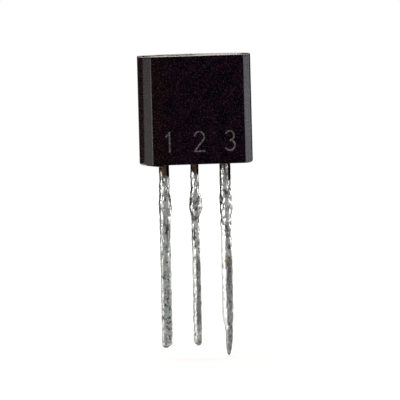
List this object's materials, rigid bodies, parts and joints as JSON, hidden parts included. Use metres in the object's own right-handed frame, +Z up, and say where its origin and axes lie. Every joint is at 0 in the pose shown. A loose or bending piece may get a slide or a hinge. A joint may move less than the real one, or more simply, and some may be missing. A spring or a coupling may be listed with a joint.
{
  "type": "bipolar transistor in a TO-92 package",
  "caption": "Small black moulded transistor: a D-shaped body with a bevelled flat front and round back, on a row of stamped tinned leads trimmed short.",
  "frame": {"origin": "the underside of the moulded body at the centre of the middle lead, where the part seats on a board", "axes": "+X along the row from the emitter's lead to the collector's, +Y from the flat front face to the round back, +Z up through the body, away from the leads"},
  "size_m": [0.0046, 0.0033, 0.0125],
  "materials": {
    "epoxy_resin": "moulded black epoxy, fine grain, satin",
    "tinned_lead": "copper alloy dipped in solder, dull and uneven",
    "silver_epoxy": "silver-filled adhesive, matt",
    "silicon": "polished silicon with metal pads",
    "gold_wire": "bright gold"
  },
  "bodies": {
    "root": {"moulded_body": "epoxy_resin", "emitter_lead": "tinned_lead", "base_lead": "tinned_lead", "collector_lead": "tinned_lead", "die_attach": "silver_epoxy", "silicon_die": "silicon", "emitter_bond_wire": "gold_wire", "base_bond_wire": "gold_wire"}
  },
  "joints": []
}
